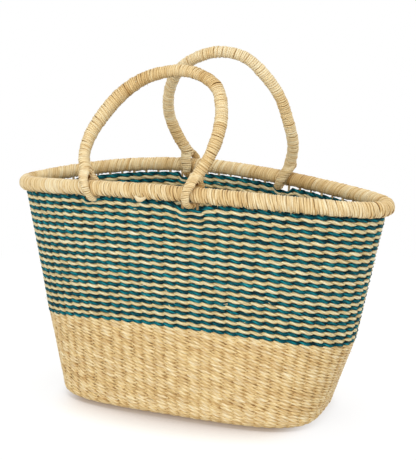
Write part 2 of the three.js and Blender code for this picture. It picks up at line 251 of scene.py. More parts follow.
def oval(half_length, half_width, power, height, arch):
    """Points of one guide line and its level outward directions. The sizes are in mm."""
    c, s = np.cos(turns), np.sin(turns)
    x = np.sign(c) * np.abs(c) ** (2 / power)
    y = np.sign(s) * np.abs(s) ** (2 / power)
    outward = np.stack([
        np.sign(x) * np.abs(x) ** (power - 1) / half_length,
        np.sign(y) * np.abs(y) ** (power - 1) / half_width,
        np.zeros_like(x),
    ], axis=1)
    outward /= np.linalg.norm(outward, axis=1, keepdims=True)
    points = np.stack([half_length * x, half_width * y, height + arch * s * s], axis=1)
    return points * MM, outward


base_half_length, base_half_width = 157.6, 80.2
rim_line, rim_out = oval(215.7, 83.2, power=1.89, height=239.9, arch=15.4)
band_line, band_out = oval(186.4, 86.1, power=2.19, height=88.7, arch=19.4)
base_line, base_out = oval(base_half_length, base_half_width, power=3.6, height=11, arch=0)

rear_tilt, rear_tilt_right = 9.9, 3.8
rim_cos, rim_sin = np.cos(turns), np.sin(turns)
rear_drop = np.where(
    rim_sin > 0, rim_sin ** 2 * rim_cos * (rear_tilt + rear_tilt_right * rim_cos), 0)
rim_line[:, 2] -= rear_drop * MM
rim_length = np.linalg.norm(np.roll(rim_line, -1, axis=0) - rim_line, axis=1).sum()
print("rim is", round(rim_length / MM), "mm round")

# %% [markdown]
# ## The wall between the ovals
#
# The wall is woven on straight stakes, so it is a ruled surface: each point of it lies on a
# straight line from the band's edge to the rim. A loft could make it, but the rows need a wall that
# can be asked for any place at any depth, so it is a function of a share of the height.

# %% Wall
rim_radius = 8.1 * MM
wall_outset = 1.8 * MM
weave_depth = 3.45 * MM
base_corner = 11 * MM
wall_length = np.linalg.norm(rim_line - band_line, axis=1)


def blend(a, b, share):
    """Points part of the way from a to b; share is one number or one for each point."""
    share = np.reshape(share, (-1, 1))
    return a * (1 - share) + b * share


def unit(vectors):
    return vectors / np.linalg.norm(vectors, axis=-1, keepdims=True)


def ease(value):
    """A smooth step from 0 to 1."""
    value = np.clip(value, 0, 1)
    return value * value * (3 - 2 * value)


def wall_points(share, depth):
    """The striped wall at a share of its height, some way in from its outer face."""
    return blend(band_line - band_out * depth, rim_line + rim_out * (wall_outset - depth), share)


print("wall from", round(wall_length.min() / MM), "to", round(wall_length.max() / MM), "mm high")

# %% [markdown]
# ## Measuring along a line
#
# A stitch is as long as the space between two stakes, so a row has to be read by its own length and
# not by the turn of the oval. This helper reads any set of values along a closed line at even
# shares of the line's length.

# %% Reading a closed line by its length
def length_shares(points):
    """How far along a closed line each point is, from 0 to 1, and the line's whole length."""
    steps = np.linalg.norm(np.roll(points, -1, axis=0) - points, axis=1)
    along = np.concatenate([[0], np.cumsum(steps)])
    return along[:-1] / along[-1], along[-1]


def read(shares, values, wanted):
    """Values of a closed line at the wanted shares of its length."""
    table = np.concatenate([shares, [1.0]])
    if values.ndim == 1:
        return np.interp(wanted % 1, table, np.concatenate([values, values[:1]]))
    columns = [read(shares, column, wanted) for column in values.T]
    return np.stack(columns, axis=1)


rim_shares, _ = length_shares(rim_line)
halfway = read(rim_shares, rim_line, np.array([0.5]))[0]
print("halfway round, the rim is at", [round(v / MM) for v in halfway], "mm")

# %% [markdown]
# ## Where the stakes stand
#
# The handles' loops go round the rim at four feet, and the stakes keep clear of them. Between two
# feet the stakes stand evenly, about 15 mm apart. Their number at each place is the clock of the
# whole weave: a strand changes sides once for each stake it passes.

# %% Stakes round the rim
foot_names = ("front_left", "front_right", "rear_left", "rear_right")
feet = [(-94.3 * MM, -1), (26.9 * MM, -1), (-43.6 * MM, 1), (77.6 * MM, 1)]
stake_pitch, stake_from_foot = 15 * MM, 8.6 * MM


def foot_share(x, side):
    """Where a foot stands, as a share of the rim's length. side is -1 in front and 1 behind."""
    on_side = np.flatnonzero(np.sign(rim_line[:, 1]) == side)
    nearest = on_side[np.argmin(np.abs(rim_line[on_side, 0] - x))]
    return rim_shares[nearest]


def stakes_between(start, stop):
    count = round((stop - start) / stake_pitch)
    return np.linspace(start, stop, count + 1)


stops = sorted(foot_share(x, side) * rim_length for x, side in feet)
stake_places = np.concatenate([
    stakes_between(start + stake_from_foot, stop - stake_from_foot)
    for start, stop in zip(stops, [*stops[1:], stops[0] + rim_length])
]) / rim_length
stake_count = len(stake_places)
print(stake_count, "stakes")


def stake_clock(shares):
    """How many stakes a place has passed, with whole numbers at the stakes."""
    places = np.concatenate([stake_places - 1, stake_places, stake_places + 1])
    numbers = np.arange(-stake_count, 2 * stake_count)
    turns_done = np.floor(shares)
    return np.interp(shares - turns_done, places, numbers) + turns_done * stake_count


# %% [markdown]
# ## Straw
#
# Dry grass straw has long fine fibres, a satin surface and a colour that changes from one straw to
# the next. An image of straw could be wrapped on, but it would stretch and repeat. Here each strand
# carries its own length and girth as a UV map and a tone of its own, into which some painted shade
# is mixed as well. The tone picks a colour from a ramp, and noise that is stretched along the
# length draws fibres, splits and flecks in it, and gives the fibres their roughness and bump.

# %% Straw material
def straw_material(name, tones, line_colour, line_depth, roughness, sheen, shine):
    """Fibrous straw whose base colour runs through the given tones, with darker lines along it."""
    material = bpy.data.materials.new(name)
    material.use_nodes = True
    tree = material.node_tree
    shader = tree.nodes["Principled BSDF"]
    feed(tree, shader, Sheen_Weight=sheen, Sheen_Roughness=0.4, IOR=1.46, Specular_IOR_Level=shine)
    strand = node(tree, "ShaderNodeUVMap")
    strand.uv_map = "strand"
    tone = node(tree, "ShaderNodeAttribute")
    tone.attribute_name = "tone"

    def stretched(along, around, detail):
        """Noise with so many grains in a metre of straw and round its girth."""
        grid = node(tree, "ShaderNodeMapping", strand.outputs["UV"], Scale=(along, around, 1))
        return node(tree, "ShaderNodeTexNoise", Vector=grid.outputs[0], Scale=1.0,
                    Detail=detail, Roughness=0.55).outputs["Fac"]

    def ranged(value, low, high, at_low, at_high):
        return node(tree, "ShaderNodeMapRange", value, low, high, at_low, at_high).outputs[0]

    def tinted(below, amount, tint):
        """The colour so far, multiplied by a tint as strongly as amount says."""
        mixed = tree.nodes.new("ShaderNodeMix")
        mixed.data_type = "RGBA"
        mixed.blend_type = "MULTIPLY"
        return feed(tree, mixed, Factor=amount, A=below, B=(*tint, 1)).outputs["Result"]

    fibres = stretched(90, 22, 4)
    splits = stretched(45, 4, 2)
    patches = stretched(28, 1.5, 2)
    flecks = stretched(420, 9, 1)

    drift = maths(tree, "MULTIPLY_ADD", patches, 0.5, -0.25)
    place = node(tree, "ShaderNodeMath", tone.outputs["Fac"], drift)
    place.use_clamp = True
    colour = ramp(tree, place.outputs[0], tones)
    colour = tinted(colour, ranged(fibres, 0.32, 0.62, line_depth, 0), line_colour)
    colour = tinted(colour, ranged(splits, 0.42, 0.53, line_depth, 0), line_colour)
    colour = tinted(colour, ranged(flecks, 0.70, 0.82, 0, 0.2), (0.5, 0.36, 0.2))
    satin = ranged(fibres, 0.3, 0.7, roughness - 0.1, roughness + 0.12)
    relief = node(tree, "ShaderNodeBump", Strength=0.55, Distance=0.3 * MM, Height=fibres)
    feed(tree, shader, Base_Color=colour, Roughness=satin, Normal=relief.outputs[0])
    return material


# %% [markdown]
# ## Five straws
#
# The undyed straw of the band is warmer than that of the stripes, the teal is dyed so deep that its
# fibres show more, the wrapping straw is smooth, and the stakes are dull. One material with a
# colour for each could do, but each also has its own fibres and shine. Each ramp goes from the
# straw's darkest tone to its palest.

# %% Five straws
natural_straw = straw_material("natural_straw", [
    (0.0, (0.24, 0.13, 0.04)), (0.25, (0.58, 0.37, 0.14)), (0.5, (0.80, 0.61, 0.29)),
    (0.75, (0.89, 0.75, 0.45)), (1.0, (0.93, 0.86, 0.63)),
], line_colour=(0.62, 0.46, 0.30), line_depth=0.5, roughness=0.5, sheen=0.05, shine=0.3)
striped_straw = straw_material("striped_straw", [
    (0.0, (0.22, 0.135, 0.05)), (0.25, (0.55, 0.39, 0.16)), (0.5, (0.76, 0.63, 0.33)),
    (0.75, (0.86, 0.775, 0.49)), (1.0, (0.91, 0.88, 0.68)),
], line_colour=(0.60, 0.47, 0.31), line_depth=0.5, roughness=0.5, sheen=0.05, shine=0.35)
teal_straw = straw_material("teal_straw", [
    (0.0, (0.0005, 0.008, 0.011)), (0.35, (0.001, 0.043, 0.055)), (0.6, (0.002, 0.128, 0.152)),
    (0.85, (0.010, 0.29, 0.32)), (1.0, (0.09, 0.43, 0.44)),
], line_colour=(0.12, 0.22, 0.27), line_depth=0.75, roughness=0.55, sheen=0.0, shine=0.12)
wrap_straw = straw_material("wrap_straw", [
    (0.0, (0.26, 0.13, 0.03)), (0.25, (0.56, 0.36, 0.13)), (0.5, (0.76, 0.57, 0.28)),
    (0.75, (0.84, 0.69, 0.40)), (1.0, (0.89, 0.80, 0.55)),
], line_colour=(0.66, 0.50, 0.32), line_depth=0.4, roughness=0.5, sheen=0.10, shine=0.28)
stake_straw = straw_material("stake_straw", [
    (0.0, (0.20, 0.11, 0.05)), (0.5, (0.52, 0.36, 0.17)), (1.0, (0.86, 0.70, 0.42)),
], line_colour=(0.5, 0.4, 0.25), line_depth=0.5, roughness=0.6, sheen=0.0, shine=0.3)
print("straw materials:", [m.name for m in bpy.data.materials if m.name.endswith("straw")])

# %% [markdown]
# ## Sweeping one strand
#
# Rolled straw isn't round: it has three plies that wind round each other, and it flattens where it
# is pulled over a stake. A curve object with a bevel can be twisted, but not flattened point by
# point. So a strand is swept here along its path with an oval section, ring by ring, and the
# section has three lobes that turn slowly as it goes, which gives the rope look.

# %% Sweep
plies = 3


def round_of(sides):
    """Angles of the points round a strand."""
    return np.arange(sides) / sides * 2 * np.pi


def along_of(path, closed):
    """Directions along a path."""
    if closed:
        return unit(np.roll(path, -1, axis=0) - np.roll(path, 1, axis=0))
    return unit(np.gradient(path, axis=0))


def sweep(path, outward, thick, tall, twist, sides, lobe, closed):
    """Rings along a path. thick is the half size towards outward and tall the half size across."""
    heading = along_of(path, closed)
    face = unit(outward - heading * np.sum(outward * heading, axis=1, keepdims=True))
    across = np.cross(heading, face)
    angle = round_of(sides)
    swell = 1 + lobe * np.cos(plies * (angle[None, :] - np.reshape(twist, (-1, 1))))
    a = np.reshape(thick, (-1, 1)) * swell * np.cos(angle)
    b = np.reshape(tall, (-1, 1)) * swell * np.sin(angle)
    return path[:, None, :] + face[:, None, :] * a[..., None] + across[:, None, :] * b[..., None]


def distances(path):
    """How far along an open path each of its points is."""
    return np.concatenate([[0], np.cumsum(np.linalg.norm(np.diff(path, axis=0), axis=1))])


def wander(count, length, wave, rng):
    """Smooth random values from -1 to 1 that close on themselves, one for each of count places."""
    knots = max(4, int(round(length / wave)))
    values = rng.uniform(-1, 1, knots)
    place = np.arange(count) * knots / count
    low = np.floor(place).astype(int)
    share = ease(place - low)
    return values[low % knots] * (1 - share) + values[(low + 1) % knots] * share


print("a strand has", plies, "plies")

# %% [markdown]
# ## A bundle of strands as one mesh
#
# There are well over a hundred metres of strand in the basket. An object for each would be slow, so
# a bundle turns many strands into one mesh in a few array steps. It writes the UV map that the
# straw reads, and a second one, OFBake, in which the strands lie side by side in lines, ready for a
# texture. First come the steps that every strand needs: its faces, and its place in both maps. Each
# strand's fibres start a little further along, so that no two strands show the same ones, and the
# lines of OFBake keep a margin between them.

# %% Faces and maps of one strand
cap_size, cap_scale = 0.3, 0.003
fibre_shift = 0.013
line_start, line_fill, line_room = 0.05, 0.9, 1.08


def strand_quads(spans, count, sides):
    """Corners of the four-sided faces between the rings of one strand."""
    i = np.arange(spans)[:, None]
    j = np.arange(sides)[None, :]
    ahead, beside = (i + 1) % count, (j + 1) % sides
    return np.stack(np.broadcast_arrays(
        i * sides + j, i * sides + beside, ahead * sides + beside, ahead * sides + j,
    ), axis=-1).reshape(-1, 4)


def start_to_end(start, end, sides):
    """A map's value along the strand at the four corners of each of its faces."""
    four = np.stack([start, start, end, end], axis=-1)[:, None, :]
    return np.broadcast_to(four, (len(start), sides, 4))


def round_the_girth(spans, sides):
    """A map's value round the strand at the four corners of each of its faces."""
    j = np.arange(sides)[None, :]
    four = np.stack(np.broadcast_arrays(j, j + 1, j + 1, j), axis=-1) / sides
    return np.broadcast_to(four, (spans, sides, 4))


def write_mesh(name, places, corners, totals, slots, maps, tones):
    """A mesh from arrays: points, face corners, corners in each face, and what goes with them."""
    places, corners, totals = map(np.concatenate, (places, corners, totals))
    made = bpy.data.meshes.new(name)
    made.vertices.add(len(places))
    made.vertices.foreach_set("co", places.astype(np.float32).ravel())
    made.loops.add(len(corners))
    made.loops.foreach_set("vertex_index", corners.astype(np.int32))
    made.polygons.add(len(totals))
    made.polygons.foreach_set("loop_start", (np.cumsum(totals) - totals).astype(np.int32))
    made.polygons.foreach_set("material_index", np.concatenate(slots).astype(np.int32))
    made.polygons.foreach_set("use_smooth", (totals == 4))
    made.update(calc_edges=True)
    for title, values in maps.items():
        layer = made.uv_layers.new(name=title)
        layer.data.foreach_set("uv", np.concatenate(values).astype(np.float32).ravel())
    layer = made.attributes.new("tone", "FLOAT", "POINT")
    layer.data.foreach_set("value", np.concatenate(tones).astype(np.float32))
    return made


print("a cap takes", cap_size, "of a line of the map")

# %% [markdown]
# The bundle itself keeps the strands as they are added. When it becomes a piece, it counts the
# spans between their rings, lays these out in even lines for OFBake, and closes the open ends with
# a small cap. Then it hangs the piece on the body it rides on and hides the CAD nodes that it takes
# the place of.

# %% Bundle
class Bundle:
    """Strands on their way to being one mesh."""

    def __init__(self, sides):
        self.sides = sides
        self.strands = []

    def add(self, rings, closed, tone, material=0):
        """rings is sections by points round; tone is a number for each section, or each point."""
        middle = rings.mean(axis=1)
        along = distances(np.vstack([middle, middle[:1]]) if closed else middle)
        self.strands.append((rings, closed, along, np.asarray(tone, float), material))

    def line_layout(self, spans_all):
        """How many spans make one line of the OFBake map, and how many lines there are."""
        girth = np.mean([np.linalg.norm(rings[:, 1] - rings[:, 0], axis=1).mean() * self.sides
                         for rings, *_ in self.strands])
        step = np.sum([along[-1] for _, _, along, _, _ in self.strands]) / sum(spans_all)
        per_line = max(2, int(round(math.sqrt(sum(spans_all) * girth * line_room / step))))
        return per_line, math.ceil(sum(spans_all) / per_line)

    def mesh(self, name):
        sides = self.sides
        spans_all = [len(along) - 1 for _, _, along, _, _ in self.strands]
        per_line, lines = self.line_layout(spans_all)
        places, tones, corners, totals, slots, strand_uv, bake_uv = [], [], [], [], [], [], []
        first, span_first = 0, 0
        for (rings, closed, along, tone, material), spans in zip(self.strands, spans_all):
            quads = strand_quads(spans, len(rings), sides) + first
            corners.append(quads.ravel())
            totals.append(np.full(len(quads), 4))
            slots.append(np.full(len(quads), material))
            u = start_to_end(along[:-1], along[1:], sides)
            v = round_the_girth(spans, sides)
            strand_uv.append(np.stack([u + first * fibre_shift, v], axis=-1).reshape(-1, 2))
            index = span_first + np.arange(spans)
            line, column = index // per_line, index % per_line
            bake_u = start_to_end(column / per_line, (column + 1) / per_line, sides)
            bake_v = (line[:, None, None] + line_start + line_fill * v) / lines
            bake_uv.append(np.stack([bake_u, bake_v], axis=-1).reshape(-1, 2))
            open_ends = () if closed else ((0, -1), (len(rings) - 1, 1))
            for end, order in open_ends:
                corners.append(np.arange(sides)[::order] + end * sides + first)
                totals.append([sides])
                slots.append([material])
                angle = round_of(sides)[::order]
                small = cap_size * np.stack([np.cos(angle), np.sin(angle)], axis=1)
                strand_uv.append(small * cap_scale + [along[end], 0.5])
                at = min(end, spans - 1)
                spot = [(column[at] + 0.5) / per_line, (line[at] + 0.5) / lines]
                bake_uv.append(small / [per_line, lines] + spot)
            places.append(rings.reshape(-1, 3))
            tones.append(np.repeat(tone, sides) if tone.ndim == 1 else tone.ravel())
            first += len(rings) * sides
            span_first += spans
        maps = {"strand": strand_uv, "OFBake": bake_uv}
        return write_mesh(name, places, corners, totals, slots, maps, tones)

    def piece(self, name, body, slot, nodes, *materials):
        """The finished object, which rides on a body; the CAD nodes that it takes the place of are
        hidden.
        """
        made = bpy.data.objects.new(name, self.mesh(name))
        for material in materials:
            made.data.materials.append(material)
        bpy.context.scene.collection.objects.link(made)
        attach(made, body)
        if nodes:
            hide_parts(*nodes)
        print(f"{name}: {len(self.strands)} strands, {len(made.data.polygons)} faces")


# %% [markdown]
# ## Straws in a strand
#
# No straw is as long as a row. The weaver feeds in a new one every 20 to 45 cm, so the tone changes
# there, and now and then a cut end sticks out. Each strand gets its tone straw by straw, and an end
# is a strip of its own, thin, tapered and a little curled, because a bump couldn't stand off.

# %% Straw tones and straw ends
def straw_tones(count, length, rng, middle, spread):
    """Tone along a strand: straws 20 to 45 cm long are joined end to end, each with its own."""
    tone = np.zeros(count)
    place = 0
    while place < count:
        run = int(rng.uniform(0.2, 0.45) / length * count) + 1
        tone[place:place + run] = middle + spread * np.clip(rng.normal(), -1.2, 1.2)
        place += run
    soft = np.ones(5) / 5
    tone = np.convolve(np.pad(tone, 2, mode="wrap"), soft, mode="valid")
    return tone + 0.6 * spread * wander(count, length, 9 * MM, rng)


def straw_end(bundle, root, heading, outward, length, width, tone, material, rng):
    """A cut end of straw that sticks out."""
    steps = np.linspace(0, 1, 5)[:, None]
    curl = unit(outward) * rng.uniform(-0.25, 0.35) * length
    path = root + unit(heading) * length * steps + curl * steps ** 2
    taper = 1 - 0.75 * steps[:, 0]
    face = np.tile(unit(outward), (5, 1))
    rings = sweep(path, face, 0.2 * MM * taper, width / 2 * taper, 0.0, bundle.sides, 0.0, False)
    bundle.add(rings, False, np.full(5, tone), material)


def row_ends(bundle, path, out, up, side_of_wall, thick, ends, rng):
    """Straw ends along a twined strand, at places where it lies over a stake."""
    shown = np.flatnonzero(np.abs(side_of_wall) > 0.5)
    for at in rng.choice(shown, ends, replace=False):
        face = out[at] * np.sign(side_of_wall[at])
        root = path[at] + face * thick[at] * 0.6
        run = path[(at + 1) % len(path)] - path[at]
        heading = unit(run) * rng.choice([-1, 1]) + face * rng.uniform(0.15, 0.7)
        heading = heading + up[at] * rng.uniform(-0.5, 0.3)
        straw_end(bundle, root, heading, face, rng.uniform(3, 7) * MM,
                  rng.uniform(0.7, 1.3) * MM, rng.uniform(0.5, 0.95), 1, rng)


sample = straw_tones(500, 1.0, np.random.default_rng(0), 0.8, 0.08)
print("tones in a metre of strand: from", sample.min().round(2), "to", sample.max().round(2))

# %% [markdown]
# ## One twined row
#
# Each row is a pair of strands. At a stake one lies outside and the other inside, and halfway to
# the next stake they cross. Going to the right, the strand on the outside runs downhill, which
# gives the slanted stitches of the photograph. A row could be one small stitch copied round, but
# the pitch changes with the oval, so the pair is swept round as a whole with the stakes as its
# clock. Where the number of stakes is odd, a strand comes back on the other side, so one strand
# goes round twice and is its own partner.

# %% Twined row
strand_step = 2.0 * MM
strand_sides = 12
strand_half, strand_squeeze = 1.5, 0.15
cross_depth = 1.75 * MM
ply_turn = 26 * MM
ply_shade = 0.14


def twined_row(bundle, middle, outward, upward, height, rng, tone, spread,
               clock=stake_clock, stakes=None, slant=0.17, pinch=0.25, full=0.58,
               shadow=0.15, dots=0.6, edge=0.05, ends=0, deep=cross_depth):
    """Adds one row's strands to a bundle. middle is its line, halfway into the wall. slant is how
    far a stitch runs downhill, pinch and full are its half heights where it crosses and where it
    lies over a stake, all as shares of the row's height, and deep is how far it goes out and in.
    shadow is painted shade on a strand where it dives inside, dots painted shade on its edges
    there, and edge painted shade on its upper and lower edges all along. ends is how many straw
    ends each strand shows."""
    stakes = stakes or stake_count
    shares, length = length_shares(middle)
    loops = 2 if stakes % 2 else 1
    count = int(round(length * loops / strand_step))
    at = np.arange(count) / count * loops
    centre = read(shares, middle, at)
    out = unit(read(shares, outward, at))
    up = unit(read(shares, upward, at))
    tall = read(shares, height, at)
    sway = 0.11 * wander(count, length * loops, 30 * MM, rng)
    lift = 0.14 * MM * wander(count, length * loops, 28 * MM, rng)
    angle = round_of(bundle.sides)
    twists = round(length * loops / ply_turn)
    for strand in range(1 if loops == 2 else 2):
        phase = np.pi * (clock(at) + sway + strand)
        c, s = np.cos(phase), np.sin(phase)
        depth = deep * np.sign(c) * np.abs(c) ** 0.6
        plump = 1 + 0.07 * wander(count, length * loops, 11 * MM, rng)
        drop = slant * tall * s
        path = centre + out * depth[:, None] + up * (lift - drop)[:, None]
        thick = (strand_half - strand_squeeze * c * c) * MM * plump
        half = tall * (pinch + (full - pinch) * np.abs(c)) * plump
        twist = 2 * np.pi * at / loops * twists + rng.uniform(0, 6)
        rings = sweep(path, out, thick, half, twist, bundle.sides, 0.10, True)
        here = straw_tones(count, length * loops, rng, tone, spread)
        # Painted shade: darker where the strand dives in at a crossing, along its upper and lower
        # edges, and in the valleys between its plies.
        dive = (1 - np.abs(c)) ** 1.6
        edge_shade = np.sin(angle)[None, :] ** 2 * (edge + dots * dive[:, None])
        ply_valley_shade = ply_shade * (1 - np.cos(plies * (angle[None, :] - twist[:, None])))
        bundle.add(rings, True, (here - shadow * dive)[:, None] - edge_shade - ply_valley_shade)
        row_ends(bundle, path, out, up, c, thick, ends, rng)


print("a strand is swept in steps of", round(strand_step / MM, 1), "mm")

# %% [markdown]
# ## Where the rows part
#
# Thirty-five rows stand one on another from the plain band up to the rim, teal and natural in turn.
# The top rows part round the four loops of the handles, as they do in the photograph. Sculpting
# could push them down, but then the strands would be squashed. Instead each row's upper and lower
# edge dips at a foot, and the strands are woven between the edges that result.

# %% Edges of the rows
row_count, gap_under_rim = 35, 1.9 * MM
# For each foot: half the width of the dip, the length of its slopes, its depth, and the rows it
# reaches down
dip_shapes = [(6 * MM, 5 * MM, 4.0 * MM, 2.5), (8 * MM, 16 * MM, 5.9 * MM, 9),
              (7.5 * MM, 5 * MM, 5.4 * MM, 4), (6.5 * MM, 6 * MM, 5.0 * MM, 4)]


def foot_dip(foot, shape):
    """How strongly each place of the wall gives way to a loop, from 0 to 1."""
    x, side = foot
    half_width, slope, *_ = shape
    away = np.where(np.sign(rim_line[:, 1]) == side, np.abs(rim_line[:, 0] - x), 1)
    return ease(1 - (away - half_width) / slope)


foot_dips = [foot_dip(foot, shape) for foot, shape in zip(feet, dip_shapes)]


def edge_share(edge):
    """Upper edge of a row, as a share of the wall's height. The last edge is the wall's lowest."""
    top = wall_length - rim_radius - gap_under_rim
    dip = np.max([here * depth * max(0, 1 - edge / rows)
                  for here, (_, _, depth, rows) in zip(foot_dips, dip_shapes)], axis=0)
    return (top * (1 - edge / row_count) - dip) / wall_length


row_heights = (edge_share(0) - edge_share(row_count)) * wall_length / row_count
print("a striped row is", round(row_heights.mean() / MM, 2), "mm high")

# %% [markdown]
# ## The striped wall
#
# Now the rows are woven. The teal ones get more painted shade at their crossings than the natural
# ones. The rows are gathered six to a piece, so that each piece keeps a texture fine enough to show
# its fibres.

# %% Rows of the striped wall
wall_upward = unit(rim_line - band_line)
stripe_looks = {
    "teal": dict(tone=0.85, spread=0.08, shadow=0.32, dots=0.5),
    "natural": dict(tone=0.84, spread=0.08, shadow=0.14, dots=0.4),
}


def wall_row(bundle, row, look):
    rng = np.random.default_rng(100 + row)
    upper, lower = edge_share(row), edge_share(row + 1)
    middle = (upper + lower) / 2
    outward = unit(blend(band_out, rim_out, middle))
    height = (upper - lower) * wall_length
    twined_row(bundle, wall_points(middle, weave_depth), outward, wall_upward, height, rng,
               slant=0.25, pinch=0.34, full=0.48, edge=0.12, ends=3, **look)


def striped_piece(colour, first, last, straw, extra_nodes=()):
    """Rows of one colour, numbered from the top as the CAD nodes are."""
    bundle = Bundle(strand_sides)
    for number in range(first, last + 1):
        wall_row(bundle, 2 * (number - 1) + (colour == "natural"), stripe_looks[colour])
    nodes = [f"{colour}_row_{number:02d}" for number in range(first, last + 1)]
    bundle.piece(f"{colour}_rows_{first:02d}_to_{last:02d}", "basket", f"{colour}_straw",
                 [*nodes, *extra_nodes], straw, striped_straw)


for first, last in ((1, 6), (7, 12), (13, 18)):
    striped_piece("teal", first, last, teal_straw)
for first, last in ((1, 6), (7, 12), (13, 17)):
    striped_piece("natural", first, last, striped_straw, ["inner_courses"] if first == 1 else [])

# %% [markdown]
# ## The plain band and its turn into the base
#
# Below the stripes the same rows go on undyed, and then roll under the rounded edge. The direction
# that is outside for a strand turns with them, from sideways to straight down. The stitches are
# flatter and steeper here, so that their ends line up in the columns of dark dots of the
# photograph.

# %% Rows of the plain band
band_rows, corner_rows = 24, 4
corner_row_height = 3.7 * MM
band_upward = unit(band_line - base_line)


def band_row(bundle, row):
    rng = np.random.default_rng(200 + row)
    share = 1 - (row + 0.5) / band_rows
    middle = blend(base_line - base_out * weave_depth, band_line - band_out * weave_depth, share)
    outward = unit(blend(base_out, band_out, share))
    height = np.linalg.norm(band_line - base_line, axis=1) / band_rows
    twined_row(bundle, middle, outward, band_upward, height, rng, 0.79, 0.09, slant=0.34,
               pinch=0.37, full=0.53, shadow=0.11, dots=0.85, ends=1, deep=1.25 * MM)


def corner_row(bundle, row):
    rng = np.random.default_rng(300 + row)
    angle = (row + 0.5) / corner_rows * np.pi / 2
    radius = base_corner - weave_depth
    down = np.array([0, 0, 1])
    middle = base_line + base_out * (radius * math.cos(angle) - base_corner)
    middle = middle - down * radius * math.sin(angle)
    outward = base_out * math.cos(angle) - down * math.sin(angle)
    upward = base_out * math.sin(angle) + down * math.cos(angle)
    height = np.full(len(turns), corner_row_height)
    twined_row(bundle, middle, outward, upward, height, rng, 0.76, 0.08, slant=0.24, pinch=0.42,
               full=0.53, shadow=0.12, dots=0.7, deep=1.15 * MM)


def band_piece(number, rows, corners, nodes):
    bundle = Bundle(strand_sides)
    for row in rows:
        band_row(bundle, row)
    for row in corners:
        corner_row(bundle, row)
    bundle.piece(f"plain_band_{number}", "basket", "natural_straw", nodes,
                 natural_straw, natural_straw)


band_piece(1, range(0, 9), [], ["lower_band"])
band_piece(2, range(9, 18), [], [])
band_piece(3, range(18, band_rows), range(corner_rows), [])

# %% [markdown]
# ## The base
#
# The flat underside is woven as ovals inside ovals, down to a straight seam in the middle.
# Shrinking the outline would cross itself at the ends, so each oval lies part of the way from the
# outline to the seam. The number of stakes falls twice towards the middle, as the spokes run
# together there.

# %% Rings of the base
base_rings = 17
all_stakes_to, half_stakes_to = 5, 12
ring_fill = 0.96
seam_share = (base_half_length - base_half_width) / base_half_length
seam = base_line * [seam_share, 0, 1]
to_seam = (base_line - seam) * [1, 1, 0]


def ring_stakes(ring):
    """How many stakes a ring crosses: all, then about half and a third, in even numbers."""
    if ring < all_stakes_to:
        return stake_count
    return 2 * (stake_count // (4 if ring < half_stakes_to else 6))


def base_ring(bundle, ring):
    rng = np.random.default_rng(400 + ring)
    half_width = base_half_width * MM
    inset = base_corner + (ring + 0.5) * (half_width - base_corner) / base_rings
    middle = blend(base_line, seam, inset / half_width)
    middle[:, 2] = weave_depth
    outward = np.tile([0.0, 0, -1], (len(turns), 1))
    height = np.linalg.norm(to_seam, axis=1) / base_rings * ring_fill
    stakes = ring_stakes(ring)
    clock = stake_clock if ring < all_stakes_to else lambda shares: shares * stakes
    twined_row(bundle, middle, outward, unit(to_seam), height, rng, 0.66, 0.13, clock, stakes)


base_bundle = Bundle(strand_sides - 2)
for ring in range(base_rings):
    base_ring(base_bundle, ring)
base_bundle.piece("base_rings", "basket", "natural_straw", ["base_mat"], natural_straw)

# %% [markdown]
# ## Stakes and the bundle inside the rim
#
# The stakes show only as short stubs under the rim, where the light comes through. They run down
# inside the wall, between the two strands of every row. At the top they bend over into a bundle
# that goes all the way round. Only the stubs could be made, but whole stakes also close the small
# holes between the stitches from behind.

# %% Stakes and rim bundle
stake_depth = 3.6 * MM
core_radius, core_twists, core_count = 5 * MM, 24, 520


def stake_points():
    """Every stake's path from the base up into the rim: levels by stakes."""
    radius = base_corner - stake_depth
    base_edge = base_line - base_out * stake_depth
    band_edge = band_line - band_out * stake_depth
    levels = []
    for angle in (1.2, 0.6, 0.0):
        line = base_line + base_out * (radius * math.cos(angle) - base_corner)
        levels.append(line - np.array([0, 0, radius * math.sin(angle)]))
    levels += [blend(base_edge, band_edge, share) for share in (0.33, 0.66, 1.0)]
    levels += [wall_points(share, stake_depth) for share in (0.2, 0.4, 0.6, 0.8, 0.93, 1.0)]
    return np.stack([read(length_shares(line)[0], line, stake_places) for line in levels])


stake_bundle = Bundle(strand_sides)
stake_paths = stake_points()
stake_out = read(rim_shares, rim_out, stake_places)
for number in range(stake_count):
    rng = np.random.default_rng(500 + number)
    path = stake_paths[:, number]
    outward = np.tile(stake_out[number], (len(path), 1))
    twist = np.linspace(0, 3, len(path)) + rng.uniform(0, 6)
    wide = np.interp(np.arange(len(path)), [0, len(path) - 3, len(path) - 1],
                     [1.15, 1.15, rng.uniform(1.3, 2.1)]) * MM
    rings = sweep(path, outward, 0.75 * MM, wide, twist, strand_sides, 0.08, False)
    # Painted shade: the stakes' tone is kept low, partly so that the stubs under the rim look
    # shaded.
    stake_bundle.add(rings, False, np.full(len(path), rng.normal(0.62, 0.12)))

core_at = np.arange(core_count) / core_count
core_path = read(rim_shares, rim_line, core_at)
core_out = read(rim_shares, rim_out, core_at)
core_rings = sweep(core_path, core_out, core_radius, core_radius,
                   2 * np.pi * core_at * core_twists, strand_sides, 0.06, True)
core_tone = 0.5 + 0.1 * wander(core_count, rim_length, 20 * MM, np.random.default_rng(9))
stake_bundle.add(core_rings, True, core_tone)
stake_bundle.piece("stakes_and_rim_bundle", "basket", "stake_straw", ["stakes_and_rim_core"],
                   stake_straw)

# %% [markdown]
# ## Winding straw round something
#
# Rim, handles and loops are all wound with flat straws, turn against turn. Rings of straw would
# look machined, so the straw is one long helix. Each turn has its own width, the straws change tone
# every few centimetres where one ends and the next begins, and the turns lean a little. A tube
# toned dark as painted shade lies under the helix, so that the gaps between turns look shaded and
# nothing shines through.

# %% Widths and tones of a winding
wrap_sides = 8
